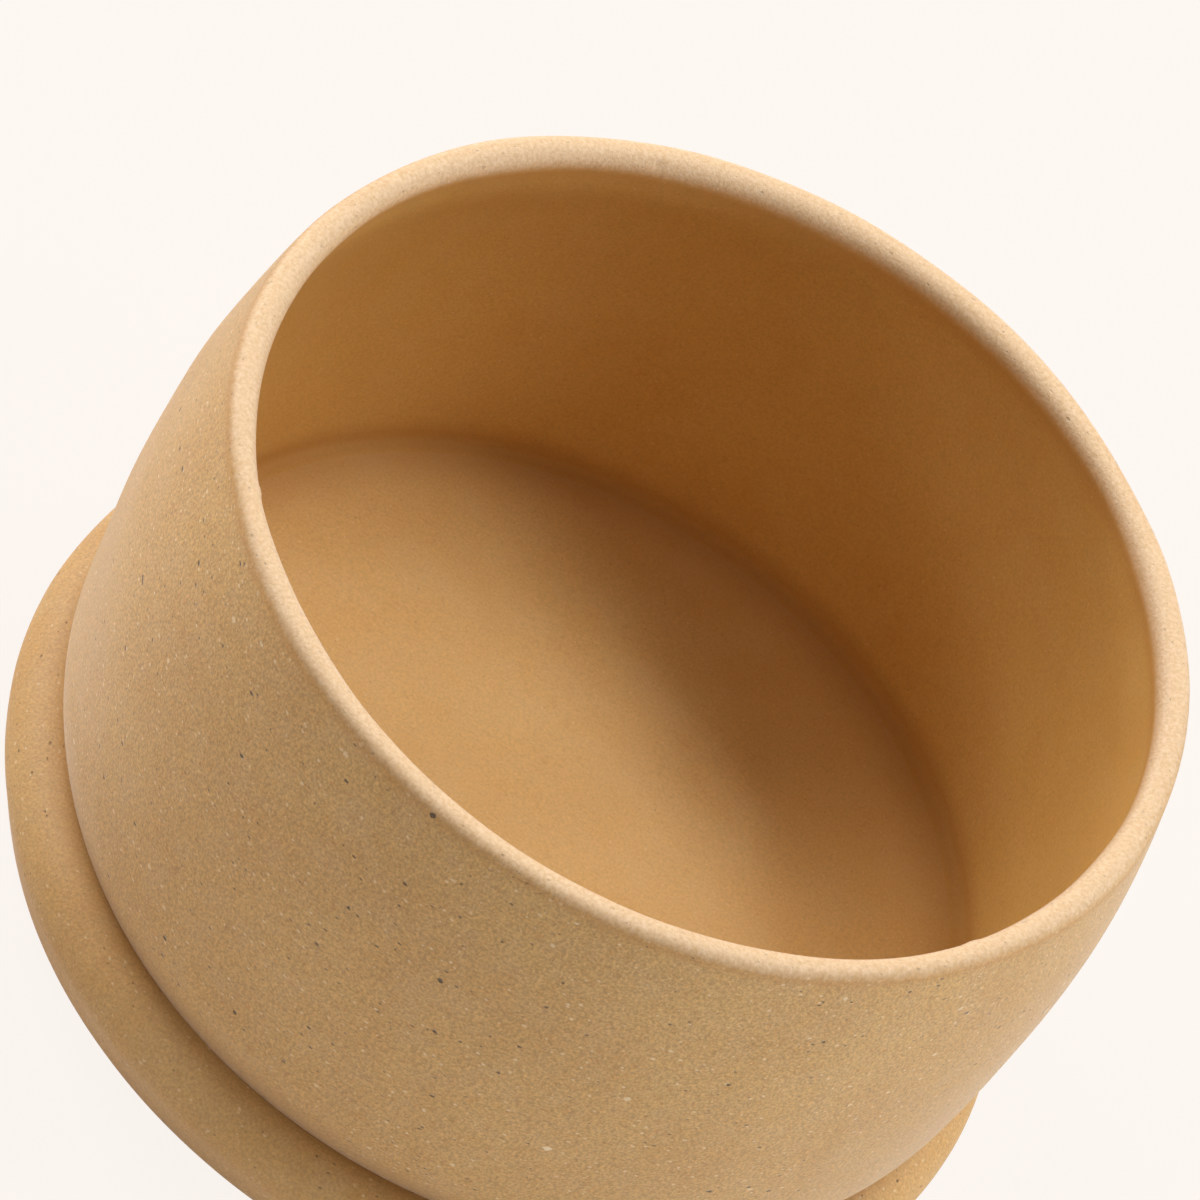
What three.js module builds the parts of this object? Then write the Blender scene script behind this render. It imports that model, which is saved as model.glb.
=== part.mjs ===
// Clay teacup of unglazed stoneware, built from four pieces of clay that are joined with slip.
// Millimetres, +Z up along the axis of the cup, origin at the centre of the standing face.

import * as THREE from 'three';

// Lip and wall
const HEIGHT = 49.3; // standing face to the top of the lip
const LIP_RADIUS = 40; // axis to the middle of the lip
const LIP_THICKNESS = 2.6;
const LIP_ROUNDING = 1; // radius on the outer edge of the lip
const LIP_INNER_ROUNDING = 1.4; // radius on its inner edge, which is wiped softer
const LIP_LEAN = 11.7; // degrees that the wall draws in towards the lip
const WALL_LEAN = 5.6; // degrees that the wall draws in towards the foot
const WALL_THICKNESS = 3.58; // where the wall meets the floor
const BOTTOM_RADIUS = 40; // axis to the outer edge of the wall's flat underside
const TUCK_RADIUS = 17; // rounding between the underside and the wall
const TUCK_LEAN = 30; // degrees that the tuck has drawn in where it meets the underside
const TOE_WIDTH = 3.2; // flat underside of the wall, which stands on the foot ring

// Floor and inner corner
const FLOOR_THICKNESS = 2.8;
const FLOOR_SINK = 0.8; // depth of the rebate in the foot ring that takes the floor
const COIL_REACH = 1.3; // how far the corner coil reaches over the floor and up the wall
const COIL_BODY = 0.35; // how far its hollow face stays out of the corner
const SLIP = 0.3; // layer of slip between faces that aren't pressed flat together

// Foot ring
const FOOT_HEIGHT = 9; // standing face to the wall's seat
const FOOT_PROJECTION = 3.85; // how far the ring stands out past the wall's underside
const DOME_WIDTH = 3.8; // how far in the ring's domed shoulder begins
const DOME_DROP = 3.5; // how far down it runs to the ring's widest line
const FOOT_ROUNDING = 2.2; // radius on the ring's lower outer edge
const FOOT_DRAFT = 23.2; // degrees that the ring's side draws in towards the standing face
const LEDGE_WIDTH = 4.4; // ledge in the ring that carries the floor
const RECESS_FLARE = 3; // how far the recess under the floor opens towards its mouth
const MOUTH_ROUNDING = 1.2; // edge between the recess and the standing face

// Smoothness of the facets
const SEGMENTS = 64; // steps round the axis
const CURVE_STEPS = 5; // steps along a curve, twice as many along an arc

const CLAY = { color: 0xc9a272, roughness: 0.95, metalness: 0 };

const radians = THREE.MathUtils.degToRad;
const QUARTER = Math.PI / 2;

// Levels and points that the pieces share, as radius and height
const floorBottom = FOOT_HEIGHT - FLOOR_SINK;
const floorTop = floorBottom + FLOOR_THICKNESS;
const lipShare = Math.min(1, LIP_THICKNESS / (LIP_ROUNDING + LIP_INNER_ROUNDING));
const outerRounding = LIP_ROUNDING * lipShare;
const innerRounding = LIP_INNER_ROUNDING * lipShare;
const tuckCentre = fromCentre(BOTTOM_RADIUS, FOOT_HEIGHT, TUCK_RADIUS, Math.PI - radians(TUCK_LEAN));
const toe = new THREE.Vector2(BOTTOM_RADIUS - TOE_WIDTH, FOOT_HEIGHT);
const wallFoot = fromCentre(tuckCentre.x, tuckCentre.y, TUCK_RADIUS, -radians(WALL_LEAN));
const corner = new THREE.Vector2(wallFoot.x - WALL_THICKNESS, floorTop);

// The floor's bevelled edge lies one layer of slip inside the wall's mitre, and the rebate one outside it.
const mitre = corner.clone().sub(toe);
const bevelShift = SLIP * mitre.length() / mitre.y;
const floorRadius = toe.x - bevelShift;
const rebateRadius = floorRadius + SLIP;

// Point at an angle on a circle, counted up from straight outwards
function fromCentre(radius, height, size, angle) {
  return new THREE.Vector2(radius + size * Math.cos(angle), height + size * Math.sin(angle));
}

// Swelling line of the wall, drawn in by its own lean at each end
function swell(path, start, startLean, end, endLean) {
  const rise = end.y - start.y;
  const reach = Math.abs(rise) / 3;
  const startOut = Math.sin(radians(startLean)) * reach;
  const endOut = Math.sin(radians(endLean)) * reach;
  const startUp = Math.sign(rise) * Math.cos(radians(startLean)) * reach;
  const endUp = Math.sign(rise) * Math.cos(radians(endLean)) * reach;
  path.bezierCurveTo(
    start.x + startOut, start.y + startUp,
    end.x + endOut, end.y - endUp,
    end.x, end.y,
  );
}

// Wall: tuck, swelling outside, rounded lip and inside. A path drops its start where an arc follows, so this
// solid lacks the flat toe: its lower end is one slope from the inner corner to the foot of the tuck.
function wallProfile() {
  const lean = radians(LIP_LEAN);
  const outerCentre = LIP_RADIUS + LIP_THICKNESS / 2 - outerRounding;
  const outerHeight = HEIGHT - outerRounding;
  const innerCentre = LIP_RADIUS - LIP_THICKNESS / 2 + innerRounding;
  const innerHeight = HEIGHT - innerRounding;
  const lipOutside = fromCentre(outerCentre, outerHeight, outerRounding, lean);
  const lipInside = fromCentre(innerCentre, innerHeight, innerRounding, Math.PI + lean);
  const path = new THREE.Path();
  path.moveTo(toe.x, toe.y);
  path.absarc(tuckCentre.x, tuckCentre.y, TUCK_RADIUS, -radians(TUCK_LEAN), -radians(WALL_LEAN));
  swell(path, wallFoot, WALL_LEAN, lipOutside, LIP_LEAN);
  path.absarc(outerCentre, outerHeight, outerRounding, lean, QUARTER);
  path.absarc(innerCentre, innerHeight, innerRounding, QUARTER, Math.PI + lean);
  swell(path, lipInside, LIP_LEAN, corner, WALL_LEAN);
  path.closePath();
  return path;
}

// Floor: a disc in the ring's rebate, with its edge bevelled to the wall's mitre
function floorProfile() {
  const path = new THREE.Path();
  path.moveTo(0, floorBottom);
  path.lineTo(floorRadius, floorBottom);
  path.lineTo(floorRadius, FOOT_HEIGHT);
  path.lineTo(corner.x - bevelShift, floorTop);
  path.lineTo(0, floorTop);
  return path;
}

// Corner coil: pressed into the inner seam and smoothed to a hollow face
function coilProfile() {
  const outside = corner.x - SLIP;
  const top = outside + COIL_REACH * Math.tan(radians(WALL_LEAN));
  const toeEnd = outside - COIL_REACH;
  const path = new THREE.Path();
  path.moveTo(toeEnd, floorTop);
  path.lineTo(outside, floorTop);
  path.lineTo(top, floorTop + COIL_REACH);
  path.quadraticCurveTo(outside - COIL_BODY, floorTop + COIL_BODY, toeEnd, floorTop);
  return path;
}

// Foot ring: domed and tapered outside, flat seat and rebate. A path drops its start where an arc follows, so
// this solid lacks the ledge: its inside is one slope from the rebate to the mouth of the recess.
function footProfile() {
  const draft = radians(FOOT_DRAFT);
  const ledgeRadius = rebateRadius - LEDGE_WIDTH;
  const mouthRadius = ledgeRadius + RECESS_FLARE + MOUTH_ROUNDING;
  const domeCentre = BOTTOM_RADIUS + FOOT_PROJECTION - DOME_WIDTH;
  const domeHeight = FOOT_HEIGHT - DOME_DROP;
  // Angle on the dome's ellipse at which it runs into the drafted side
  const sideAngle = -Math.atan(Math.tan(draft) * DOME_DROP / DOME_WIDTH);
  const sideRadius = domeCentre + DOME_WIDTH * Math.cos(sideAngle);
  const sideHeight = domeHeight + DOME_DROP * Math.sin(sideAngle);
  const hem = fromCentre(0, FOOT_ROUNDING, FOOT_ROUNDING, -draft);
  const lowerCentre = sideRadius - (sideHeight - hem.y) * Math.tan(draft) - hem.x;
  const path = new THREE.Path();
  path.moveTo(ledgeRadius, floorBottom);
  path.absarc(mouthRadius, MOUTH_ROUNDING, MOUTH_ROUNDING, Math.PI, 3 * QUARTER);
  path.absarc(lowerCentre, FOOT_ROUNDING, FOOT_ROUNDING, -QUARTER, -draft);
  path.absellipse(domeCentre, domeHeight, DOME_WIDTH, DOME_DROP, sideAngle, QUARTER);
  path.lineTo(rebateRadius, FOOT_HEIGHT);
  path.lineTo(rebateRadius, floorBottom);
  path.closePath();
  return path;
}

// Turned piece of clay: a profile revolved round the upright axis
function turned(name, profile) {
  const geometry = new THREE.LatheGeometry(profile.getPoints(CURVE_STEPS), SEGMENTS);
  geometry.rotateX(QUARTER);
  const mesh = new THREE.Mesh(geometry, new THREE.MeshStandardMaterial(CLAY));
  mesh.name = name;
  return mesh;
}

const teacup = new THREE.Group();
teacup.add(turned('foot_ring', footProfile()));
teacup.add(turned('floor_disc', floorProfile()));
teacup.add(turned('corner_coil', coilProfile()));
teacup.add(turned('cup_wall', wallProfile()));

export default teacup;
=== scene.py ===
"""Clay teacup of unglazed sandy stoneware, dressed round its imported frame.

Metres, +Z up along the axis of the cup, origin at the centre of the standing face. The four pieces of clay are
turned finer than the frame's solids, get the small unevenness of hand building, and are dressed in one procedural
clay. A camera, a pale board and soft lamps follow.
"""

import logging
import math
from dataclasses import dataclass, field, replace
from enum import Enum
from typing import Callable, Optional, Union

import bpy
from mathutils import Matrix, Vector


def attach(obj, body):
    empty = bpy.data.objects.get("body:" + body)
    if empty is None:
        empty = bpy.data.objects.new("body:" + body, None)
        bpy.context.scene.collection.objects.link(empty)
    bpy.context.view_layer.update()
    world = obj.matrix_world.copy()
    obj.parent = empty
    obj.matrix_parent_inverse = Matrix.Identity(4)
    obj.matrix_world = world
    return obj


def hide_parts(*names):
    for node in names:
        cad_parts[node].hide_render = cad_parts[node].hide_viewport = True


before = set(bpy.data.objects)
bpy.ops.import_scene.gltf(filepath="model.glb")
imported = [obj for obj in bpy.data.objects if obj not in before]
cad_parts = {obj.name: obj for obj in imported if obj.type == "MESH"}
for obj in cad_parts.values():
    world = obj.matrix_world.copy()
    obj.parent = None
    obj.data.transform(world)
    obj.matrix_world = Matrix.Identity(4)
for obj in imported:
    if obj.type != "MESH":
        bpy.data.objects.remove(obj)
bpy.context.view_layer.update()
BODY = "root"
MM = 0.001

SMOOTH_ANGLE = math.radians(32)  # edges sharper than this stay crisp
SWELL_STEPS = 44  # rings along the swelling line of the wall
INSIDE_FACING = -0.9  # faces of the wall that look this far towards the axis are its inside
LAYER_SHIFT = (0.013, 0.029, 0.041)  # metres between one layer of grains and the next, so that patterns differ
MERGE_DISTANCE = 0.0005 * MM
SAME_POINT = 0.001 * MM
SAME_LEVEL = 0.01 * MM

logging.basicConfig(level=logging.INFO, format="%(message)s")
log = logging.getLogger("teacup")

Feed = Union[float, tuple, bpy.types.NodeSocket]


def linear(hex_colour: str) -> tuple[float, float, float, float]:
    """Turns an sRGB hex colour to linear light.

    Args:
        hex_colour: Six hex digits after a hash.

    Returns:
        Red, green, blue and an alpha of 1.
    """
    parts = [int(hex_colour[i:i + 2], 16) / 255 for i in (1, 3, 5)]
    red, green, blue = (p / 12.92 if p <= 0.04045 else ((p + 0.055) / 1.055) ** 2.4 for p in parts)
    return red, green, blue, 1.0


def add_node(
    tree: bpy.types.NodeTree,
    kind: str,
    feeds: Optional[dict[Union[str, int], Feed]] = None,
    **settings: object,
) -> bpy.types.Node:
    """Adds a node with its settings and links.

    Args:
        tree: The material's or world's node tree.
        kind: Blender's name for the node.
        feeds: What goes into each socket, a value or another node's output.
        **settings: Properties of the node itself.

    Returns:
        The new node.
    """
    node = tree.nodes.new(kind)
    for name, value in settings.items():
        setattr(node, name, value)
    for socket, feed in (feeds or {}).items():
        if isinstance(feed, bpy.types.NodeSocket):
            tree.links.new(feed, node.inputs[socket])
        else:
            node.inputs[socket].default_value = feed
    return node


def seen_directly(tree: bpy.types.NodeTree) -> bpy.types.NodeSocket:
    """Tells the rays that see a surface from those that carry light to the cup.

    Args:
        tree: The material's or world's node tree.

    Returns:
        1 for a ray of the camera, of a reflection or through glass, and 0 for any other.
    """
    path = add_node(tree, "ShaderNodeLightPath")
    seen = add_node(tree, "ShaderNodeMath", {
        0: path.outputs["Is Camera Ray"], 1: path.outputs["Is Glossy Ray"]}, operation="MAXIMUM")
    clear = add_node(tree, "ShaderNodeMath", {
        0: seen.outputs[0], 1: path.outputs["Is Transmission Ray"]}, operation="MAXIMUM")
    return clear.outputs[0]


def smooth_step(value: float, low: float, high: float) -> float:
    """Rises smoothly from 0 at low to 1 at high."""
    share = min(max((value - low) / (high - low), 0.0), 1.0)
    return share * share * (3 - 2 * share)


class Grain(Enum):
    """Kinds of mineral grain that show in the clay."""

    IRON = "iron"
    QUARTZ = "quartz"


# How far a grain stands proud of the sand, as a share of the relief: iron has burnt out to a pit
GRAIN_PROUD = {Grain.IRON: -1.4, Grain.QUARTZ: 0.5}
SPOT_PROUD = {Grain.IRON: -2.0, Grain.QUARTZ: 0.6}


@dataclass(frozen=True)
class GrainLayer:
    """Grains of one kind, scattered through the clay.

    How ragged they are, how far their sizes spread and where their edge fades are shares of a grain's size.
    """

    kind: Grain
    spacing_mm: float
    size_mm: float
    strength: float
    drawn: float = 1.0
    ragged: float = 0.9
    spread: float = 0.8
    edge: tuple[float, float] = (0.95, 1.45)


@dataclass(frozen=True)
class GrainSpot:
    """One large grain at a known place of the wall's outside, drawn out by the stroke that smoothed it."""

    kind: Grain
    azimuth: float
    height_mm: float
    size_mm: float
    drawn: float = 1.0
    slope: float = 0.0
    strength: float = 0.9
    ragged: float = 1.2
    edge: tuple[float, float] = (1.2, 1.7)

    def place(self, radius: float) -> Vector:
        """Gives the spot's place on a wall of that radius."""
        angle = math.radians(self.azimuth)
        return Vector((radius * math.cos(angle), radius * math.sin(angle), self.height_mm * MM))

    def stroke(self) -> Vector:
        """Gives the direction that the spot is drawn in.

        Returns:
            The direction, level round the wall at no slope.
        """
        angle = math.radians(self.azimuth)
        rise = math.radians(self.slope)
        level = Vector((-math.sin(angle), math.cos(angle), 0))
        return level * math.cos(rise) + Vector((0, 0, math.sin(rise)))


@dataclass(frozen=True)
class PaleLip:
    """Where the lip is painted pale, down the inside and just over the outer edge: partly wear from a damp leather,
    partly painted highlight where light falls on the lip.

    A warm band beside it is painted bounce light.
    """

    height: float
    radius: float
    inside_mm: float = 1.3
    outside_mm: float = 0.4
    inside_blend_mm: float = 1.0
    outside_blend_mm: float = 0.45
    ragged_mm: float = 0.7
    share: float = 0.6
    # share of the painted warm bounce light beside the pale lip
    bounce_light_share: float = 0.4
    speckle_mm: float = 0.35
    speckle: float = 0.32


@dataclass(frozen=True)
class PaintedCornerShade:
    """Painted shade: darkens the clay towards a corner or crease, where shade falls, in the warm brown of light
    bounced there.
    """

    radius: float
    height: float
    # painted shade colour: the warm brown that bounced light gives in a corner
    colour: str = "#a4702e"
    reach_mm: float = 3.2
    share: float = 0.5


@dataclass(frozen=True)
class SandyStoneware:
    """Unglazed stoneware with fine sand, smoothed damp and fired without glaze.

    To the eye it is matte and dry, with light and dark grains, small pits, soft ochre and ash clouds in its colour,
    and a pale dusty edge where it is seen at a flat angle. Where asked, its lip is painted pale, partly as wear and
    partly as painted highlight, and its corners get painted shade.
    """

    name: str
    clay: str = "#c79d61"
    ochre: str = "#c1955a"
    ash: str = "#c59f6f"
    pale: str = "#ecd3ab"
    iron: str = "#4a3a2a"
    # flush: colour of the iron flushes, and of the painted warm bounce light beside the lip
    flush: str = "#b9813f"
    # lip colour: partly pale wear, partly painted highlight of the lit lip
    pale_wear_and_highlight: str = "#efd2ae"
    cloud_mm: float = 11.0
    drift_mm: float = 2.6
    flush_mm: float = 0.6
    flush_strength: float = 0.8
    sand_mm: float = 0.25
    sand_contrast: float = 0.62
    relief_mm: float = 0.048
    roughness: float = 0.62
    sheen: float = 0.3
    layers: tuple[GrainLayer, ...] = (
        GrainLayer(Grain.QUARTZ, 0.60, 0.16, 0.6, 1.5),
        GrainLayer(Grain.IRON, 0.72, 0.13, 0.7, 1.8),
        GrainLayer(Grain.IRON, 1.8, 0.22, 0.85, 1.5),
        GrainLayer(Grain.QUARTZ, 2.3, 0.30, 0.6, 1.3),
    )
    lip: Optional[PaleLip] = None
    corner: Optional[PaintedCornerShade] = None
    round_radius: float = 41.5 * MM

    def material(self, spots: tuple[tuple[GrainSpot, Vector], ...] = ()) -> bpy.types.Material:
        """Builds the clay's node material.

        Args:
            spots: Large grains and their places.

        Returns:
            The material.
        """
        clay = bpy.data.materials.new(self.name)
        clay.use_nodes = True
        tree = clay.node_tree
        tree.nodes.clear()
        place = add_node(tree, "ShaderNodeTexCoord").outputs["Object"]
        unrolled = self._unroll(tree, place)
        colour = self._clouds(tree, place)
        colour, relief = self._sand(tree, place, colour)
        for index, layer in enumerate(self.layers):
            spread = unrolled if layer.drawn > 1 else place
            colour, relief = self._scatter(tree, spread, layer, index, colour, relief)
        # pale lip: partly wear, partly painted highlight, with painted warm bounce light beside it
        if self.lip:
            colour = self._paint_lip_wear_and_highlight(tree, unrolled, self.lip, colour)
        # painted shade towards a corner or crease
        if self.corner:
            colour = self._paint_corner_shade(tree, unrolled, self.corner, colour)
        for spot, centre in spots:
            colour, relief = self._spot(tree, place, spot, centre, colour, relief)
        bump = add_node(tree, "ShaderNodeBump", {
            "Strength": 1.0, "Distance": self.relief_mm * MM, "Height": relief})
        shader = add_node(tree, "ShaderNodeBsdfPrincipled", {
            "Base Color": colour, "Roughness": self.roughness, "IOR": 1.5, "Normal": bump.outputs[0],
            "Sheen Weight": self.sheen, "Sheen Roughness": 0.35})
        add_node(tree, "ShaderNodeOutputMaterial", {"Surface": shader.outputs[0]})
        return clay

    def _unroll(self, tree: bpy.types.NodeTree, place: bpy.types.NodeSocket) -> bpy.types.NodeSocket:
        """Unrolls the round of the cup.

        Args:
            tree: The material's node tree.
            place: Object coordinates.

        Returns:
            Length round the wall, height and radius as a vector.
        """
        parts = add_node(tree, "ShaderNodeSeparateXYZ", {0: place})
        turn = add_node(tree, "ShaderNodeMath", {
            0: parts.outputs["Y"], 1: parts.outputs["X"]}, operation="ARCTAN2")
        length = add_node(tree, "ShaderNodeMath", {
            0: turn.outputs[0], 1: self.round_radius}, operation="MULTIPLY")
        flat = add_node(tree, "ShaderNodeCombineXYZ", {0: parts.outputs["X"], 1: parts.outputs["Y"]})
        radius = add_node(tree, "ShaderNodeVectorMath", {0: flat.outputs[0]}, operation="LENGTH")
        unrolled = add_node(tree, "ShaderNodeCombineXYZ", {
            0: length.outputs[0], 1: parts.outputs["Z"], 2: radius.outputs["Value"]})
        return unrolled.outputs[0]

    def _clouds(self, tree: bpy.types.NodeTree, place: bpy.types.NodeSocket) -> bpy.types.NodeSocket:
        """Mixes the clay with soft ochre and ash clouds and small flushes of iron.

        Args:
            tree: The material's node tree.
            place: Object coordinates.

        Returns:
            The clouded colour.
        """
        wide = add_node(tree, "ShaderNodeTexNoise", {
            "Vector": place, "Scale": 1 / (self.cloud_mm * MM), "Detail": 3.0, "Roughness": 0.6})
        wide_share = add_node(tree, "ShaderNodeMapRange", {
            0: wide.outputs[0], "From Min": 0.35, "From Max": 0.68})
        warm = add_node(tree, "ShaderNodeMix", {
            0: wide_share.outputs[0], 6: linear(self.clay), 7: linear(self.ochre)}, data_type="RGBA")
        drift = add_node(tree, "ShaderNodeTexNoise", {
            "Vector": place, "Scale": 1 / (self.drift_mm * MM), "Detail": 3.0, "Roughness": 0.6})
        drift_share = add_node(tree, "ShaderNodeMapRange", {
            0: drift.outputs[0], "From Min": 0.42, "From Max": 0.72, "To Max": 0.5})
        ashy = add_node(tree, "ShaderNodeMix", {
            0: drift_share.outputs[0], 6: warm.outputs[2], 7: linear(self.ash)}, data_type="RGBA")
        flush = add_node(tree, "ShaderNodeTexNoise", {
            "Vector": place, "Scale": 1 / (self.flush_mm * MM), "Detail": 2.0, "Roughness": 0.6})
        flush_share = add_node(tree, "ShaderNodeMapRange", {
            0: flush.outputs[0], "From Min": 0.52, "From Max": 0.78,
            "To Max": self.sand_contrast * self.flush_strength})
        mixed = add_node(tree, "ShaderNodeMix", {
            0: flush_share.outputs[0], 6: ashy.outputs[2], 7: linear(self.flush)}, data_type="RGBA")
        return mixed.outputs[2]

    def _sand(
        self,
        tree: bpy.types.NodeTree,
        place: bpy.types.NodeSocket,
        colour: bpy.types.NodeSocket,
    ) -> tuple[bpy.types.NodeSocket, bpy.types.NodeSocket]:
        """Lays the fine sand over a colour as lighter and darker grains.

        Args:
            tree: The material's node tree.
            place: Object coordinates.
            colour: The colour under the sand.

        Returns:
            The sandy colour and the height of the sand.
        """
        sand = add_node(tree, "ShaderNodeTexNoise", {
            "Vector": place, "Scale": 1 / (self.sand_mm * MM), "Detail": 2.0, "Roughness": 0.65})
        tone = add_node(tree, "ShaderNodeMapRange", {
            0: sand.outputs[0], "From Min": 0.25, "From Max": 0.75,
            "To Min": 1 - self.sand_contrast / 2, "To Max": 1 + self.sand_contrast / 2})
        toned = add_node(tree, "ShaderNodeVectorMath", {0: colour, "Scale": tone.outputs[0]}, operation="SCALE")
        return toned.outputs[0], sand.outputs[0]

    def _scatter(
        self,
        tree: bpy.types.NodeTree,
        spread: bpy.types.NodeSocket,
        layer: GrainLayer,
        index: int,
        colour: bpy.types.NodeSocket,
        relief: bpy.types.NodeSocket,
    ) -> tuple[bpy.types.NodeSocket, bpy.types.NodeSocket]:
        """Scatters one layer of grains: iron is dark and lies in a pit, quartz is pale and stands proud.

        Args:
            tree: The material's node tree.
            spread: Coordinates that the grains are spread over, unrolled ones where they are drawn out.
            layer: The grains to scatter.
            index: Number of the layer, which shifts its pattern.
            colour: The colour so far.
            relief: The height so far.

        Returns:
            The new colour and height.
        """
        shifted = add_node(tree, "ShaderNodeMapping", {
            "Vector": spread, "Location": tuple(shift * index for shift in LAYER_SHIFT),
            "Scale": (1 / layer.drawn, 1, 1)})
        ragged = add_node(tree, "ShaderNodeTexNoise", {
            "Vector": shifted.outputs[0], "Scale": 1 / (layer.size_mm * MM), "Detail": 1.0})
        cells = add_node(tree, "ShaderNodeTexVoronoi", {
            "Vector": shifted.outputs[0], "Scale": 1 / (layer.spacing_mm * MM)})
        radius = layer.size_mm / layer.spacing_mm
        chance = add_node(tree, "ShaderNodeSeparateColor", {0: cells.outputs["Color"]})
        uneven = add_node(tree, "ShaderNodeMath", {
            0: ragged.outputs[0], 1: radius * layer.ragged, 2: cells.outputs["Distance"]}, operation="MULTIPLY_ADD")
        sized = add_node(tree, "ShaderNodeMath", {
            0: chance.outputs[0], 1: radius * layer.spread, 2: uneven.outputs[0]}, operation="MULTIPLY_ADD")
        mask = add_node(tree, "ShaderNodeMapRange", {
            0: sized.outputs[0], "From Min": radius * layer.edge[0], "From Max": radius * layer.edge[1],
            "To Min": layer.strength, "To Max": 0.0}, interpolation_type="SMOOTHSTEP")
        return self._lay(tree, mask.outputs[0], layer.kind, GRAIN_PROUD[layer.kind], colour, relief)

    def _lay(
        self,
        tree: bpy.types.NodeTree,
        mask: bpy.types.NodeSocket,
        kind: Grain,
        proud: float,
        colour: bpy.types.NodeSocket,
        relief: bpy.types.NodeSocket,
    ) -> tuple[bpy.types.NodeSocket, bpy.types.NodeSocket]:
        """Lays grains into the colour and the relief.

        Args:
            tree: The material's node tree.
            mask: Where the grains are.
            kind: Their kind.
            proud: How far they stand proud.
            colour: The colour so far.
            relief: The height so far.

        Returns:
            The new colour and height.
        """
        tint = self.iron if kind is Grain.IRON else self.pale
        mixed = add_node(tree, "ShaderNodeMix", {0: mask, 6: colour, 7: linear(tint)}, data_type="RGBA")
        height = add_node(tree, "ShaderNodeMath", {0: mask, 1: proud, 2: relief}, operation="MULTIPLY_ADD")
        return mixed.outputs[2], height.outputs[0]

    def _spot(
        self,
        tree: bpy.types.NodeTree,
        place: bpy.types.NodeSocket,
        spot: GrainSpot,
        centre: Vector,
        colour: bpy.types.NodeSocket,
        relief: bpy.types.NodeSocket,
    ) -> tuple[bpy.types.NodeSocket, bpy.types.NodeSocket]:
        """Sets one large grain at a known place.

        Args:
            tree: The material's node tree.
            place: Object coordinates.
            spot: The grain.
            centre: Its place.
            colour: The colour so far.
            relief: The height so far.

        Returns:
            The new colour and height.
        """
        size = spot.size_mm * MM / 2
        stroke = spot.stroke()
        offset = add_node(tree, "ShaderNodeVectorMath", {0: place, 1: tuple(centre)}, operation="SUBTRACT")
        along = add_node(tree, "ShaderNodeVectorMath", {
            0: offset.outputs[0], 1: tuple(stroke * (1 / spot.drawn - 1))}, operation="DOT_PRODUCT")
        squeezed = add_node(tree, "ShaderNodeVectorMath", {
            0: along.outputs["Value"], 1: tuple(stroke), 2: offset.outputs[0]}, operation="MULTIPLY_ADD")
        away = add_node(tree, "ShaderNodeVectorMath", {0: squeezed.outputs[0]}, operation="LENGTH")
        edge = add_node(tree, "ShaderNodeTexNoise", {"Vector": place, "Scale": 1 / size, "Detail": 1.0})
        uneven = add_node(tree, "ShaderNodeMath", {
            0: edge.outputs[0], 1: size * spot.ragged, 2: away.outputs["Value"]}, operation="MULTIPLY_ADD")
        mask = add_node(tree, "ShaderNodeMapRange", {
            0: uneven.outputs[0], "From Min": size * spot.edge[0], "From Max": size * spot.edge[1],
            "To Min": spot.strength, "To Max": 0.0}, interpolation_type="SMOOTHSTEP")
        return self._lay(tree, mask.outputs[0], spot.kind, SPOT_PROUD[spot.kind], colour, relief)

    def _paint_lip_wear_and_highlight(
        self,
        tree: bpy.types.NodeTree,
        unrolled: bpy.types.NodeSocket,
        lip: PaleLip,
        colour: bpy.types.NodeSocket,
    ) -> bpy.types.NodeSocket:
        """Paints the lip paler, partly as wear and partly as painted highlight, with a ragged lower edge where the
        leather left it, and painted warm bounce light beside it.

        Args:
            tree: The material's node tree.
            unrolled: Length round the wall, height and radius.
            lip: Where the lip is rubbed.
            colour: The colour so far.

        Returns:
            The colour with a paler lip and painted bounce light beside it.
        """
        ragged = lip.ragged_mm * MM
        parts = add_node(tree, "ShaderNodeSeparateXYZ", {0: unrolled})
        over = {0: parts.outputs["Z"], "From Min": lip.radius - ragged / 2, "From Max": lip.radius + ragged / 2}
        depth = add_node(tree, "ShaderNodeMapRange", {
            **over, "To Min": lip.inside_mm * MM, "To Max": lip.outside_mm * MM})
        blend = add_node(tree, "ShaderNodeMapRange", {
            **over, "To Min": lip.inside_blend_mm * MM, "To Max": lip.outside_blend_mm * MM})
        streaks = add_node(tree, "ShaderNodeMapping", {"Vector": unrolled, "Scale": (1, 0.4, 1)})
        edge = add_node(tree, "ShaderNodeTexNoise", {
            "Vector": streaks.outputs[0], "Scale": 1 / ragged, "Detail": 3.0, "Roughness": 0.65})
        uneven = add_node(tree, "ShaderNodeMath", {
            0: edge.outputs[0], 1: ragged, 2: depth.outputs[0]}, operation="MULTIPLY_ADD")
        below = add_node(tree, "ShaderNodeMath", {
            0: lip.height + ragged / 2, 1: parts.outputs["Y"]}, operation="SUBTRACT")
        inside = add_node(tree, "ShaderNodeMath", {0: uneven.outputs[0], 1: below.outputs[0]}, operation="SUBTRACT")
        steepness = add_node(tree, "ShaderNodeMath", {0: inside.outputs[0], 1: blend.outputs[0]}, operation="DIVIDE")
        share = add_node(tree, "ShaderNodeMapRange", {
            0: steepness.outputs[0], "From Min": -1.0, "From Max": 1.0, "To Max": lip.share},
            interpolation_type="SMOOTHSTEP")
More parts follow.
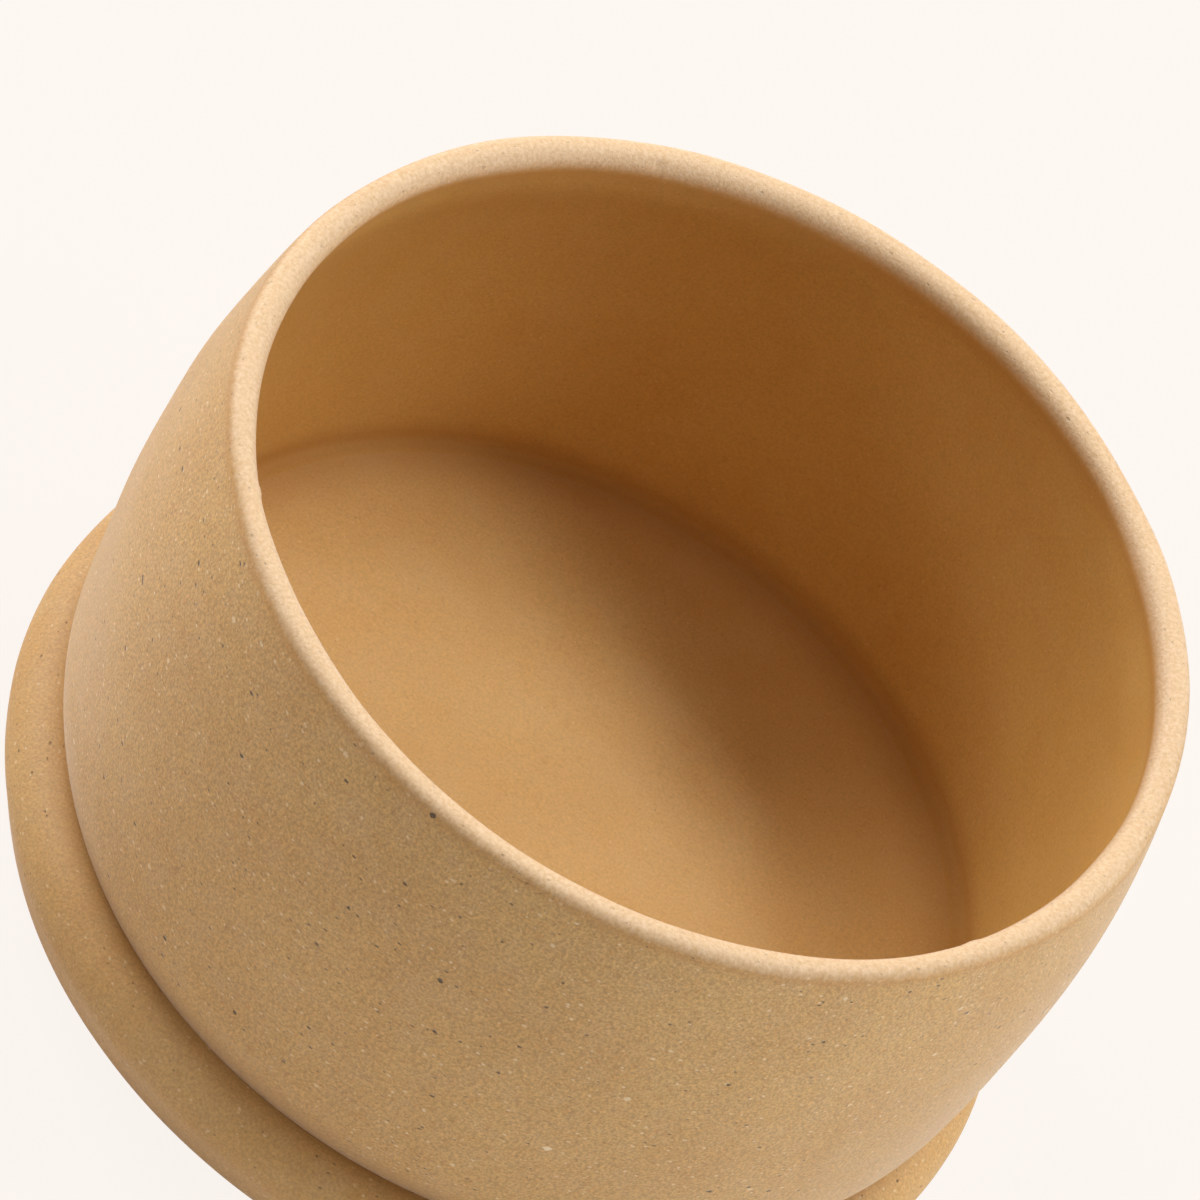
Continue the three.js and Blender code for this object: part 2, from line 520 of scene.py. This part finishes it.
        # painted warm bounce light in a band beside the pale lip, in the flush colour
        painted_bounce = add_node(tree, "ShaderNodeMapRange", {
            0: steepness.outputs[0], "From Min": -3.0, "From Max": -0.6, "To Max": lip.bounce_light_share},
            interpolation_type="SMOOTHSTEP")
        bounce_lit = add_node(tree, "ShaderNodeMix", {
            0: painted_bounce.outputs[0], 6: colour, 7: linear(self.flush)}, data_type="RGBA")
        sand = add_node(tree, "ShaderNodeTexNoise", {
            "Vector": unrolled, "Scale": 1 / (lip.speckle_mm * MM), "Detail": 2.0, "Roughness": 0.65})
        speckle = add_node(tree, "ShaderNodeMapRange", {
            0: sand.outputs[0], "From Min": 0.3, "From Max": 0.7,
            "To Min": 1 - lip.speckle, "To Max": 1 + lip.speckle})
        speckled = add_node(tree, "ShaderNodeMath", {
            0: share.outputs[0], 1: speckle.outputs[0]}, operation="MULTIPLY")
        # pale lip: part wear, part painted highlight of the lit lip
        mixed = add_node(tree, "ShaderNodeMix", {
            0: speckled.outputs[0], 6: bounce_lit.outputs[2], 7: linear(self.pale_wear_and_highlight)}, data_type="RGBA")
        return mixed.outputs[2]

    def _paint_corner_shade(
        self,
        tree: bpy.types.NodeTree,
        unrolled: bpy.types.NodeSocket,
        corner: PaintedCornerShade,
        colour: bpy.types.NodeSocket,
    ) -> bpy.types.NodeSocket:
        """Paints shade into the clay towards a corner or crease.

        Args:
            tree: The material's node tree.
            unrolled: Length round the wall, height and radius.
            corner: Where the corner is.
            colour: The colour so far.

        Returns:
            The colour with painted shade towards the corner.
        """
        section = add_node(tree, "ShaderNodeVectorMath", {0: unrolled, 1: (0, 1, 1)}, operation="MULTIPLY")
        away = add_node(tree, "ShaderNodeVectorMath", {
            0: section.outputs[0], 1: (0, corner.height, corner.radius)}, operation="DISTANCE")
        # share of painted shade: strongest at the corner, fading out over its reach
        share = add_node(tree, "ShaderNodeMapRange", {
            0: away.outputs["Value"], "From Max": corner.reach_mm * MM, "To Min": corner.share, "To Max": 0.0},
            interpolation_type="SMOOTHSTEP")
        mixed = add_node(tree, "ShaderNodeMix", {
            0: share.outputs[0], 6: colour, 7: linear(corner.colour)}, data_type="RGBA")
        return mixed.outputs[2]


@dataclass
class Profile:
    """Half section of a turned piece, as points of radius and height."""

    points: list[Vector] = field(default_factory=list)

    def to(self, radius: float, height: float, steps: int = 1) -> "Profile":
        """Goes straight to a point, or starts there.

        Args:
            radius: Radius of the point.
            height: Height of the point.
            steps: Number of steps on the way.

        Returns:
            The profile itself.
        """
        end = Vector((radius, height))
        if not self.points:
            self.points.append(end)
            return self
        start = self.points[-1]
        self.points.extend(start.lerp(end, step / steps) for step in range(1, steps + 1))
        return self

    def arc(
        self,
        centre: Vector,
        size: float,
        start: float,
        end: float,
        steps: int,
        flatness: float = 1.0,
    ) -> "Profile":
        """Follows a circle or a flattened one between two angles, counted up from straight outwards.

        Args:
            centre: Centre of the circle.
            size: Its radius.
            start: First angle in radians.
            end: Last angle in radians.
            steps: Number of steps on the way.
            flatness: Height of a flattened circle against its width.

        Returns:
            The profile itself.
        """
        for step in range(steps + 1):
            angle = start + (end - start) * step / steps
            point = centre + Vector((math.cos(angle), math.sin(angle) * flatness)) * size
            if not self.points or (point - self.points[-1]).length > SAME_POINT:
                self.points.append(point)
        return self

    def curve(self, first: Vector, second: Vector, end: Vector, steps: int) -> "Profile":
        """Follows a cubic curve from the last point.

        Args:
            first: Handle at the start.
            second: Handle at the end.
            end: Last point.
            steps: Number of steps on the way.

        Returns:
            The profile itself.
        """
        start = self.points[-1]
        for step in range(1, steps + 1):
            t = step / steps
            s = 1 - t
            self.points.append(start * s ** 3 + first * 3 * s * s * t + second * 3 * s * t * t + end * t ** 3)
        return self


@dataclass
class TurnedPiece:
    """A piece of clay that is drawn up ring by ring round the axis of the cup."""

    name: str
    node: str
    segments: int

    def turn(self, profile: Profile, closed: bool = True) -> bpy.types.Object:
        """Turns a profile: a circle is extruded and scaled along it.

        Args:
            profile: The half section.
            closed: Whether the last ring joins the first, or both ends close on the axis.

        Returns:
            The turned object.
        """
        bpy.ops.object.select_all(action="DESELECT")
        radius, height = profile.points[0]
        bpy.ops.mesh.primitive_circle_add(vertices=self.segments, radius=radius, location=(0, 0, height))
        piece = bpy.context.object
        piece.name = self.name
        piece.data.name = self.name
        bpy.ops.object.transform_apply(location=True, rotation=True, scale=True)
        bpy.ops.object.mode_set(mode="EDIT")
        bpy.ops.mesh.select_mode(type="EDGE")
        bpy.ops.mesh.select_all(action="SELECT")
        for last, point in zip(profile.points, profile.points[1:]):
            bpy.ops.mesh.extrude_edges_move(TRANSFORM_OT_translate={"value": (0, 0, point.y - last.y)})
            size = point.x / last.x
            bpy.ops.transform.resize(value=(size, size, 1), center_override=(0, 0, point.y))
        if closed:
            self._select_ends()
            bpy.ops.mesh.bridge_edge_loops()
        else:
            self._close_on_axis(piece)
        bpy.ops.mesh.select_all(action="SELECT")
        bpy.ops.mesh.remove_doubles(threshold=MERGE_DISTANCE)
        bpy.ops.mesh.normals_make_consistent(inside=False)
        bpy.ops.object.mode_set(mode="OBJECT")
        return piece

    def _select_ends(self) -> None:
        """Selects the open first and last ring."""
        bpy.ops.mesh.select_all(action="DESELECT")
        bpy.ops.mesh.select_non_manifold(extend=False, use_wire=False, use_multi_face=False,
                                         use_non_contiguous=False, use_verts=False)

    def _close_on_axis(self, piece: bpy.types.Object) -> None:
        """Draws both open rings to one point on the axis.

        Args:
            piece: The object in edit mode.
        """
        for last in (True, False):
            self._select_ends()
            bpy.ops.object.mode_set(mode="OBJECT")
            heights = [v.co.z for v in piece.data.vertices if v.select]
            level = max(heights) if last else min(heights)
            for part in (piece.data.vertices, piece.data.edges, piece.data.polygons):
                for element in part:
                    if not element.select:
                        continue
                    ends = [element] if hasattr(element, "co") else [
                        piece.data.vertices[i] for i in element.vertices]
                    element.select = all(abs(v.co.z - level) < SAME_LEVEL for v in ends)
            bpy.ops.object.mode_set(mode="EDIT")
            bpy.ops.mesh.extrude_edges_move()
            bpy.ops.mesh.merge(type="CENTER")

    def waver(
        self,
        piece: bpy.types.Object,
        depth_mm: float,
        span_mm: float,
        weight: Callable[[float, float], float],
    ) -> None:
        """Gives the open faces the slow unevenness of hand-built clay.

        Args:
            piece: The turned object.
            depth_mm: How far the surface wavers from end to end.
            span_mm: Size of the waves.
            weight: How much of it a point of that radius and height gets.
        """
        group = piece.vertex_groups.new(name="open_face")
        for vertex in piece.data.vertices:
            share = weight(math.hypot(vertex.co.x, vertex.co.y), vertex.co.z)
            if share > 0:
                group.add([vertex.index], share, "REPLACE")
        texture = bpy.data.textures.new(f"{self.name}_waver", "CLOUDS")
        texture.noise_scale = span_mm * MM
        texture.noise_depth = 1
        bend = piece.modifiers.new("waver", "DISPLACE")
        bend.texture = texture
        bend.texture_coords = "LOCAL"
        bend.strength = depth_mm * MM
        bend.mid_level = 0.5
        bend.vertex_group = group.name
        bpy.context.view_layer.objects.active = piece
        bpy.ops.object.modifier_apply(modifier=bend.name)
        piece.vertex_groups.clear()

    def finish(self, piece: bpy.types.Object, clay: bpy.types.Material) -> bpy.types.Object:
        """Smooths the piece, dresses it and puts it in its node's place.

        Args:
            piece: The turned object.
            clay: Its material.

        Returns:
            The finished object.
        """
        bpy.ops.object.select_all(action="DESELECT")
        piece.select_set(True)
        bpy.context.view_layer.objects.active = piece
        bpy.ops.object.shade_smooth_by_angle(angle=SMOOTH_ANGLE)
        piece.data.materials.clear()
        piece.data.materials.append(clay)
        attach(piece, BODY)
        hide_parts(self.node)
        log.info("%s: %d faces, stands for %s", piece.name, len(piece.data.polygons), self.node)
        return piece


@dataclass(frozen=True)
class LipNick:
    """A small crumb or notch on the inner edge of the lip."""

    azimuth: float
    width_mm: float
    depth_mm: float
    inset_mm: float = 0.25
    drop_mm: float = 0.5


@dataclass
class CupWall(TurnedPiece):
    """Wall: seat, tuck, swelling outside, rounded lip, inside and mitred lower end."""

    name: str = "clay_wall"
    node: str = "cup_wall"
    segments: int = 600
    height: float = 49.3 * MM
    lip_radius: float = 40.0 * MM
    lip_thickness: float = 2.6 * MM
    lip_rounding: float = 1.0 * MM
    lip_inner_rounding: float = 1.4 * MM
    lip_lean: float = math.radians(11.7)
    wall_lean: float = math.radians(5.6)
    wall_thickness: float = 3.58 * MM
    bottom_radius: float = 40.0 * MM
    tuck_radius: float = 17.0 * MM
    tuck_lean: float = math.radians(30.0)
    toe_width: float = 3.2 * MM
    seat_height: float = 9.0 * MM
    floor_top: float = 11.0 * MM
    waver_mm: float = 0.45
    waver_span_mm: float = 17.0
    nicks: tuple[LipNick, ...] = (
        LipNick(-144.8, 0.9, 0.16),
        LipNick(-31.6, 1.3, 0.14),
        LipNick(122.5, 0.8, -0.2),
        LipNick(-176.0, 1.0, 0.12),
    )
    spots: tuple[GrainSpot, ...] = (
        GrainSpot(Grain.IRON, -99.6, 48.5, 0.5, 1.2),
        GrainSpot(Grain.IRON, -89.3, 35.8, 0.55),
        GrainSpot(Grain.IRON, -147.1, 33.8, 0.26, 4.5, -18.0),
        GrainSpot(Grain.IRON, -140.9, 42.5, 0.3, 1.8, -18.0),
        GrainSpot(Grain.IRON, -136.1, 47.3, 0.22, 2.5, -18.0),
        GrainSpot(Grain.IRON, -101.3, 36.0, 0.32),
        GrainSpot(Grain.QUARTZ, -69.8, 23.3, 0.6, 1.4),
    )

    @property
    def tuck(self) -> Vector:
        """Centre of the rounding above the underside."""
        inwards = Vector((-math.cos(self.tuck_lean), math.sin(self.tuck_lean)))
        return Vector((self.bottom_radius, self.seat_height)) + inwards * self.tuck_radius

    @property
    def foot(self) -> Vector:
        """Point where the tuck runs into the swelling outside."""
        return self.tuck + Vector((math.cos(self.wall_lean), -math.sin(self.wall_lean))) * self.tuck_radius

    @property
    def toe(self) -> Vector:
        """Inner edge of the flat underside."""
        return Vector((self.bottom_radius - self.toe_width, self.seat_height))

    @property
    def corner(self) -> Vector:
        """Inner corner between wall and floor."""
        return Vector((self.foot.x - self.wall_thickness, self.floor_top))

    def build(self, outside: SandyStoneware, inside: SandyStoneware) -> bpy.types.Object:
        """Builds and dresses the wall.

        Args:
            outside: The clay of the outside and the lip.
            inside: The clay of the inside.

        Returns:
            The wall.
        """
        wall = self.turn(self._profile())
        still = self.floor_top + 1.5 * MM
        free = self.floor_top + 6 * MM
        self.waver(wall, self.waver_mm, self.waver_span_mm, lambda radius, height: smooth_step(height, still, free))
        for nick in self.nicks:
            self._nick(wall, nick)
        spots = tuple((spot, spot.place(self._outside(spot.height_mm * MM))) for spot in self.spots)
        self.finish(wall, outside.material(spots))
        wall.data.materials.append(inside.material())
        for face in wall.data.polygons:
            outwards = Vector((face.center.x, face.center.y, 0)).normalized()
            if face.normal.dot(outwards) < INSIDE_FACING and face.center.z < self.height - self.lip_inner_rounding:
                face.material_index = 1
        return wall

    def _profile(self) -> Profile:
        """Draws the half section of the wall.

        Returns:
            Its points in order, once round.
        """
        half = self.lip_thickness / 2
        outer = Vector((self.lip_radius + half - self.lip_rounding, self.height - self.lip_rounding))
        inner = Vector((self.lip_radius - half + self.lip_inner_rounding, self.height - self.lip_inner_rounding))
        lean = Vector((math.cos(self.lip_lean), math.sin(self.lip_lean)))
        profile = Profile().to(*self.toe).to(self.bottom_radius, self.seat_height, steps=2)
        profile.arc(self.tuck, self.tuck_radius, -self.tuck_lean, -self.wall_lean, steps=16)
        self._swell(profile, self.wall_lean, outer + lean * self.lip_rounding, self.lip_lean)
        profile.arc(outer, self.lip_rounding, self.lip_lean, math.pi / 2, steps=10)
        profile.to(inner.x, self.height, steps=4)
        profile.arc(inner, self.lip_inner_rounding, math.pi / 2, math.pi + self.lip_lean, steps=16)
        self._swell(profile, self.lip_lean, self.corner, self.wall_lean)
        return profile

    def _swell(self, profile: Profile, start_lean: float, end: Vector, end_lean: float) -> None:
        """Adds a swelling line, drawn in by its own lean at each end.

        Args:
            profile: The profile so far.
            start_lean: Lean at its last point.
            end: End of the line.
            end_lean: Lean there.
        """
        start = profile.points[-1]
        rise = end.y - start.y
        reach = abs(rise) / 3
        up = math.copysign(reach, rise)
        first = start + Vector((math.sin(start_lean) * reach, math.cos(start_lean) * up))
        second = end + Vector((math.sin(end_lean) * reach, -math.cos(end_lean) * up))
        profile.curve(first, second, end, SWELL_STEPS)

    def _outside(self, height: float) -> float:
        """Finds the radius of the outside at a height.

        Args:
            height: Height above the standing face.

        Returns:
            The outer radius there.
        """
        points = self._profile().points
        top = max(range(len(points)), key=lambda index: points[index].y)
        nearest = min(points[:top], key=lambda point: abs(point.y - height))
        return nearest.x

    def _nick(self, wall: bpy.types.Object, nick: LipNick) -> None:
        """Pushes a small crumb out of the inner edge of the lip, or a notch into it.

        Args:
            wall: The turned wall.
            nick: Place and size of the nick.
        """
        angle = math.radians(nick.azimuth)
        outwards = Vector((math.cos(angle), math.sin(angle), 0))
        radius = self.lip_radius - self.lip_thickness / 2 + nick.inset_mm * MM
        place = outwards * radius + Vector((0, 0, self.height - nick.drop_mm * MM))
        for vertex in wall.data.vertices:
            near = (vertex.co - place).length / (nick.width_mm * MM)
            if near < 1:
                push = nick.depth_mm * MM * (1 - smooth_step(near, 0, 1))
                vertex.co -= outwards * push


@dataclass
class FloorDisc(TurnedPiece):
    """Floor: a disc in the foot ring's rebate, with its edge bevelled to the wall's mitre."""

    wall: CupWall = field(default_factory=CupWall)
    name: str = "clay_floor"
    node: str = "floor_disc"
    segments: int = 256
    thickness: float = 2.8 * MM
    slip: float = 0.3 * MM
    middle: float = 0.8 * MM
    waver_mm: float = 0.5
    waver_span_mm: float = 19.0

    @property
    def bottom(self) -> float:
        """Height of the underside."""
        return self.wall.floor_top - self.thickness

    @property
    def bevel_shift(self) -> float:
        """How far the bevelled edge lies inside the wall's mitre."""
        mitre = self.wall.corner - self.wall.toe
        return self.slip * mitre.length / mitre.y

    @property
    def radius(self) -> float:
        """Radius of the part in the rebate."""
        return self.wall.toe.x - self.bevel_shift

    def build(self, finish: SandyStoneware) -> bpy.types.Object:
        """Builds and dresses the floor.

        Args:
            finish: The clay.

        Returns:
            The floor.
        """
        top = self.wall.floor_top
        edge = self.wall.corner.x - self.bevel_shift
        profile = Profile().to(self.middle, self.bottom).to(self.radius, self.bottom, steps=40)
        profile.to(self.radius, self.wall.seat_height, steps=2)
        profile.to(edge, top, steps=6).to(self.middle, top, steps=48)
        disc = self.turn(profile, closed=False)
        free = edge - 8 * MM
        still = edge - 2 * MM
        upper = top - 0.2 * MM
        self.waver(disc, self.waver_mm, self.waver_span_mm, lambda radius, height: (
            1 - smooth_step(radius, free, still)) if height > upper else 0.0)
        return self.finish(disc, finish.material())


@dataclass
class CornerCoil(TurnedPiece):
    """Corner coil: pressed into the inner seam and smoothed to a hollow face."""

    wall: CupWall = field(default_factory=CupWall)
    name: str = "clay_corner"
    node: str = "corner_coil"
    segments: int = 256
    reach: float = 1.3 * MM
    tightness: float = 0.8
    slip: float = 0.3 * MM

    def build(self, finish: SandyStoneware) -> bpy.types.Object:
        """Builds and dresses the corner coil.

        Args:
            finish: The clay.

        Returns:
            The corner coil.
        """
        level = self.wall.floor_top
        lean = math.tan(self.wall.wall_lean)
        outside = self.wall.corner.x + self.slip
        toe = Vector((self.wall.corner.x - self.reach, level))
        top = Vector((self.wall.corner.x + self.reach * lean, level + self.reach))
        hug = self.reach * self.tightness
        profile = Profile().to(*toe).to(outside, level - self.slip, steps=4)
        profile.to(outside + self.reach * lean, top.y, steps=4).to(*top)
        profile.curve(top - Vector((hug * lean, hug)), toe + Vector((hug, 0)), toe, steps=18)
        profile.points.pop()
        return self.finish(self.turn(profile), finish.material())


@dataclass
class FootRing(TurnedPiece):
    """Foot ring: domed and tapered outside, flat seat, rebate with a ledge, and an open recess inside."""

    wall: CupWall = field(default_factory=CupWall)
    floor: FloorDisc = field(default_factory=FloorDisc)
    name: str = "clay_foot"
    node: str = "foot_ring"
    segments: int = 512
    projection: float = 3.85 * MM
    dome_width: float = 3.8 * MM
    dome_drop: float = 3.5 * MM
    rounding: float = 2.2 * MM
    draft: float = math.radians(23.2)
    ledge_width: float = 4.4 * MM
    recess_flare: float = 3.0 * MM
    mouth_rounding: float = 1.2 * MM
    waver_mm: float = 0.4
    waver_span_mm: float = 15.0

    def build(self, finish: SandyStoneware) -> bpy.types.Object:
        """Builds and dresses the foot ring.

        Args:
            finish: The clay.

        Returns:
            The foot ring.
        """
        ring = self.turn(self._profile())
        low = 0.1 * MM
        fade = 2 * MM
        skirt = self.wall.bottom_radius + 0.2 * MM
        self.waver(ring, self.waver_mm, self.waver_span_mm, lambda radius, height: (
            smooth_step(height, low, fade) * smooth_step(radius, skirt, skirt + fade)))
        return self.finish(ring, finish.material())

    def _profile(self) -> Profile:
        """Draws the half section of the foot ring.

        Returns:
            Its points in order, once round.
        """
        seat = self.wall.seat_height
        rebate = self.floor.radius + self.floor.slip
        ledge = rebate - self.ledge_width
        mouth = Vector((ledge + self.recess_flare + self.mouth_rounding, self.mouth_rounding))
        dome = Vector((self.wall.bottom_radius + self.projection - self.dome_width, seat - self.dome_drop))
        flatness = self.dome_drop / self.dome_width
        side_angle = -math.atan(flatness * math.tan(self.draft))
        side = dome + Vector((math.cos(side_angle), math.sin(side_angle) * flatness)) * self.dome_width
        hem = Vector((math.cos(self.draft), -math.sin(self.draft))) * self.rounding
        taper = (side.y - self.rounding - hem.y) * math.tan(self.draft)
        lower = Vector((side.x - taper - hem.x, self.rounding))
        profile = Profile().to(ledge, self.floor.bottom)
        profile.to(mouth.x - self.mouth_rounding, self.mouth_rounding, steps=12)
        profile.arc(mouth, self.mouth_rounding, math.pi, 1.5 * math.pi, steps=8)
        profile.to(lower.x, 0, steps=6)
        profile.arc(lower, self.rounding, -math.pi / 2, -self.draft, steps=10)
        profile.to(*side, steps=8)
        profile.arc(dome, self.dome_width, side_angle, math.pi / 2, steps=20, flatness=flatness)
        profile.to(rebate, seat, steps=8)
        profile.to(rebate, self.floor.bottom, steps=2)
        return profile


@dataclass(frozen=True)
class CupClays:
    """The one clay of the cup, as each of its faces shows it."""

    outside: SandyStoneware
    inside: SandyStoneware
    floor: SandyStoneware
    seam: SandyStoneware
    foot: SandyStoneware

    @classmethod
    def for_wall(cls, wall: CupWall) -> "CupClays":
        """Works out the clays from the places of the lip, which is painted pale, and of the inner corner and the
        crease over the foot, which get painted shade.

        Args:
            wall: The wall of the cup.

        Returns:
            The five clays.
        """
        lip = PaleLip(wall.height, wall.lip_radius)
        # painted shade in the inner corner between wall and floor
        corner = PaintedCornerShade(wall.corner.x, wall.corner.y)
        # painted shade in the crease between wall and foot
        crease = PaintedCornerShade(wall.bottom_radius, wall.seat_height, "#a2763a", reach_mm=5.0, share=0.5)
        # Beaten and wiped: dry and grainy to the eye, with drawn-out grains and a dusty edge; its lip painted pale,
        # partly wear and partly painted highlight, and painted shade in the crease over the foot
        outside = SandyStoneware("sandy_stoneware", lip=lip, corner=crease)
        # Smoothed with a wet rib: even, with few grains and no dust; its warmer, more saturated colour is painted
        # shade for the warm light bounced round inside the cup, with the pale lip and painted shade at the corner
        inside = SandyStoneware(
            "smoothed_stoneware_inside", clay="#cda25a", ochre="#c99b53", ash="#cca463", sand_contrast=0.24,
            relief_mm=0.012, sheen=0.0, drift_mm=4.5, lip=lip, corner=corner, layers=(
                GrainLayer(Grain.QUARTZ, 0.9, 0.16, 0.25), GrainLayer(Grain.IRON, 1.1, 0.13, 0.25)))
        # The same, a little paler as painted light where light falls on the floor, and painted shade slowly darker
        # towards the seam
        floor = replace(
            inside, name="smoothed_stoneware_floor", clay="#d4aa69", ochre="#d0a360", ash="#d2ac72", lip=None,
            corner=replace(corner, reach_mm=6.5))
        # Slip without sand: dull, with painted shade, a warm brown, in the middle of the seam
        seam = replace(
            inside, name="slip_stoneware_painted_shade", clay="#cfa25a", ochre="#cb9c52", ash="#cda563", roughness=0.8,
            layers=(), lip=None, corner=replace(corner, reach_mm=2.6, share=0.68))
        # Handled less than the wall: sandy, with fine grains only, and a little painted shade in the crease over it
        foot = SandyStoneware(
            "sandy_stoneware_foot", clay="#caa066", ochre="#c39558", ash="#c29c6a", sand_contrast=0.4, sheen=0.08,
            corner=replace(crease, reach_mm=2.4, share=0.3), layers=(
                GrainLayer(Grain.QUARTZ, 0.60, 0.16, 0.5, 1.5), GrainLayer(Grain.IRON, 0.72, 0.13, 0.6, 1.8),
                GrainLayer(Grain.IRON, 1.8, 0.22, 0.8, 1.5)))
        return cls(outside, inside, floor, seam, foot)


@dataclass(frozen=True)
class PaleBoard:
    """Matt painted board under the cup, nearly white, which shows a faint shadow."""

    colour: str = "#fcf6f1"
    shadow_share: float = 0.045
    side: float = 6.0

    def build(self) -> bpy.types.Object:
        """Lays the board.

        Returns:
            The board, which isn't part of the cup.
        """
        bpy.ops.object.select_all(action="DESELECT")
        bpy.ops.mesh.primitive_plane_add(size=self.side, location=(0, 0, 0))
        board = bpy.context.object
        board.name = "pale_board"
        # Matt paint: no gloss, one even pale tone with a faint shadow
        paint = bpy.data.materials.new("matt_board_paint")
        paint.use_nodes = True
        tree = paint.node_tree
        tree.nodes.clear()
        matt = add_node(tree, "ShaderNodeBsdfDiffuse", {"Color": linear(self.colour)})
        white = add_node(tree, "ShaderNodeEmission", {"Color": linear(self.colour), "Strength": 1.0})
        share = add_node(tree, "ShaderNodeMath", {
            0: seen_directly(tree), 1: 1 - self.shadow_share}, operation="MULTIPLY")
        mixed = add_node(tree, "ShaderNodeMixShader", {
            0: share.outputs[0], 1: matt.outputs[0], 2: white.outputs[0]})
        add_node(tree, "ShaderNodeOutputMaterial", {"Surface": mixed.outputs[0]})
        board.data.materials.append(paint)
        return board


@dataclass(frozen=True)
class SoftLamp:
    """A softbox that looks at the cup."""

    name: str
    azimuth: float
    elevation: float
    power: float
    width: float = 0.24
    height: float = 0.2
    distance: float = 0.9
    colour: str = "#ffffff"

    def build(self, target: Vector) -> bpy.types.Object:
        """Hangs the lamp.

        Args:
            target: The point that it looks at.

        Returns:
            The lamp.
        """
        turn = math.radians(self.azimuth)
        rise = math.radians(self.elevation)
        away = Vector((math.cos(turn) * math.cos(rise), math.sin(turn) * math.cos(rise), math.sin(rise)))
        data = bpy.data.lights.new(self.name, "AREA")
        data.shape = "RECTANGLE"
        data.size = self.width
        data.size_y = self.height
        data.energy = self.power
        data.color = linear(self.colour)[:3]
        lamp = bpy.data.objects.new(self.name, data)
        bpy.context.scene.collection.objects.link(lamp)
        lamp.location = target + away * self.distance
        lamp.rotation_euler = away.to_track_quat("Z", "Y").to_euler()
        lamp.visible_camera = False
        return lamp


@dataclass(frozen=True)
class Studio:
    """Soft studio light: a pale surround and softboxes."""

    surround: str = "#fef9f4"
    strength: float = 0.222
    lamps: tuple[SoftLamp, ...] = (
        SoftLamp("back_softbox", 67.5, 58.0, 2.7, width=0.37),
        SoftLamp("back_right_softbox", 15.0, 48.0, 1.74),
        SoftLamp("high_right_softbox", 30.0, 58.0, 1.24),
        SoftLamp("high_left_softbox", 152.5, 38.0, 3.42, width=0.45),
        SoftLamp("low_left_softbox", 145.0, 18.0, 2.36),
        SoftLamp("left_softbox", 190.0, 28.0, 1.18),
        SoftLamp("low_right_strip", -20.0, 4.0, 2.93, width=0.5, height=0.08, colour="#e4f3ff"),
    )

    def build(self, target: Vector) -> None:
        """Sets the surround and hangs the lamps.

        Args:
            target: The point that the lamps look at.
        """
        world = bpy.data.worlds.new("pale_surround")
        bpy.context.scene.world = world
        world.use_nodes = True
        tree = world.node_tree
        tree.nodes.clear()
        level = add_node(tree, "ShaderNodeMapRange", {
            0: seen_directly(tree), "To Min": self.strength, "To Max": 1.0})
        air = add_node(tree, "ShaderNodeBackground", {
            "Color": linear(self.surround), "Strength": level.outputs[0]})
        add_node(tree, "ShaderNodeOutputWorld", {"Surface": air.outputs[0]})
        for lamp in self.lamps:
            lamp.build(target)


@dataclass(frozen=True)
class PhotoCamera:
    """Camera at the photograph's viewing angle, worked out from where the lip's circle lies in it."""

    lens_mm: float = 270.0
    sensor_mm: float = 36.0
    elevation: float = 45.49
    roll: float = 33.57
    distance: float = 0.7105
    image_side: float = 1200.0
    lip_pixel: tuple[float, float] = (713.59, 552.26)

    def build(self, lip_centre: Vector) -> bpy.types.Object:
        """Places the camera and makes it the scene's.

        Args:
            lip_centre: The point that shows at lip_pixel.

        Returns:
            The camera.
        """
        rise = math.radians(self.elevation)
        turn = math.radians(self.roll)
        back = Vector((0, -math.cos(rise), math.sin(rise)))
        level = Vector((1, 0, 0))
        upright = back.cross(level)
        right = level * math.cos(turn) + upright * math.sin(turn)
        up = upright * math.cos(turn) - level * math.sin(turn)
        pixels = self.lens_mm / self.sensor_mm * self.image_side
        across = (self.lip_pixel[0] - self.image_side / 2) / pixels * self.distance
        above = (self.image_side / 2 - self.lip_pixel[1]) / pixels * self.distance
        place = lip_centre - right * across - up * above + back * self.distance
        data = bpy.data.cameras.new("photo_camera")
        data.lens = self.lens_mm
        data.sensor_width = self.sensor_mm
        camera = bpy.data.objects.new("photo_camera", data)
        bpy.context.scene.collection.objects.link(camera)
        camera.matrix_world = Matrix((
            (right.x, up.x, back.x, place.x),
            (right.y, up.y, back.y, place.y),
            (right.z, up.z, back.z, place.z),
            (0, 0, 0, 1)))
        bpy.context.scene.camera = camera
        return camera


def main() -> None:
    """Builds the cup piece by piece, then the board, the light and the camera."""
    bpy.context.scene.view_settings.view_transform = "Standard"
    wall = CupWall()
    floor = FloorDisc(wall=wall)
    clays = CupClays.for_wall(wall)
    FootRing(wall=wall, floor=floor).build(clays.foot)
    floor.build(clays.floor)
    CornerCoil(wall=wall).build(clays.seam)
    wall.build(clays.outside, clays.inside)
    PaleBoard().build()
    Studio().build(Vector((0, 0, wall.height / 2)))
    PhotoCamera().build(Vector((0, 0, wall.height - wall.lip_thickness / 2)))


if __name__ == "__main__":
    main()
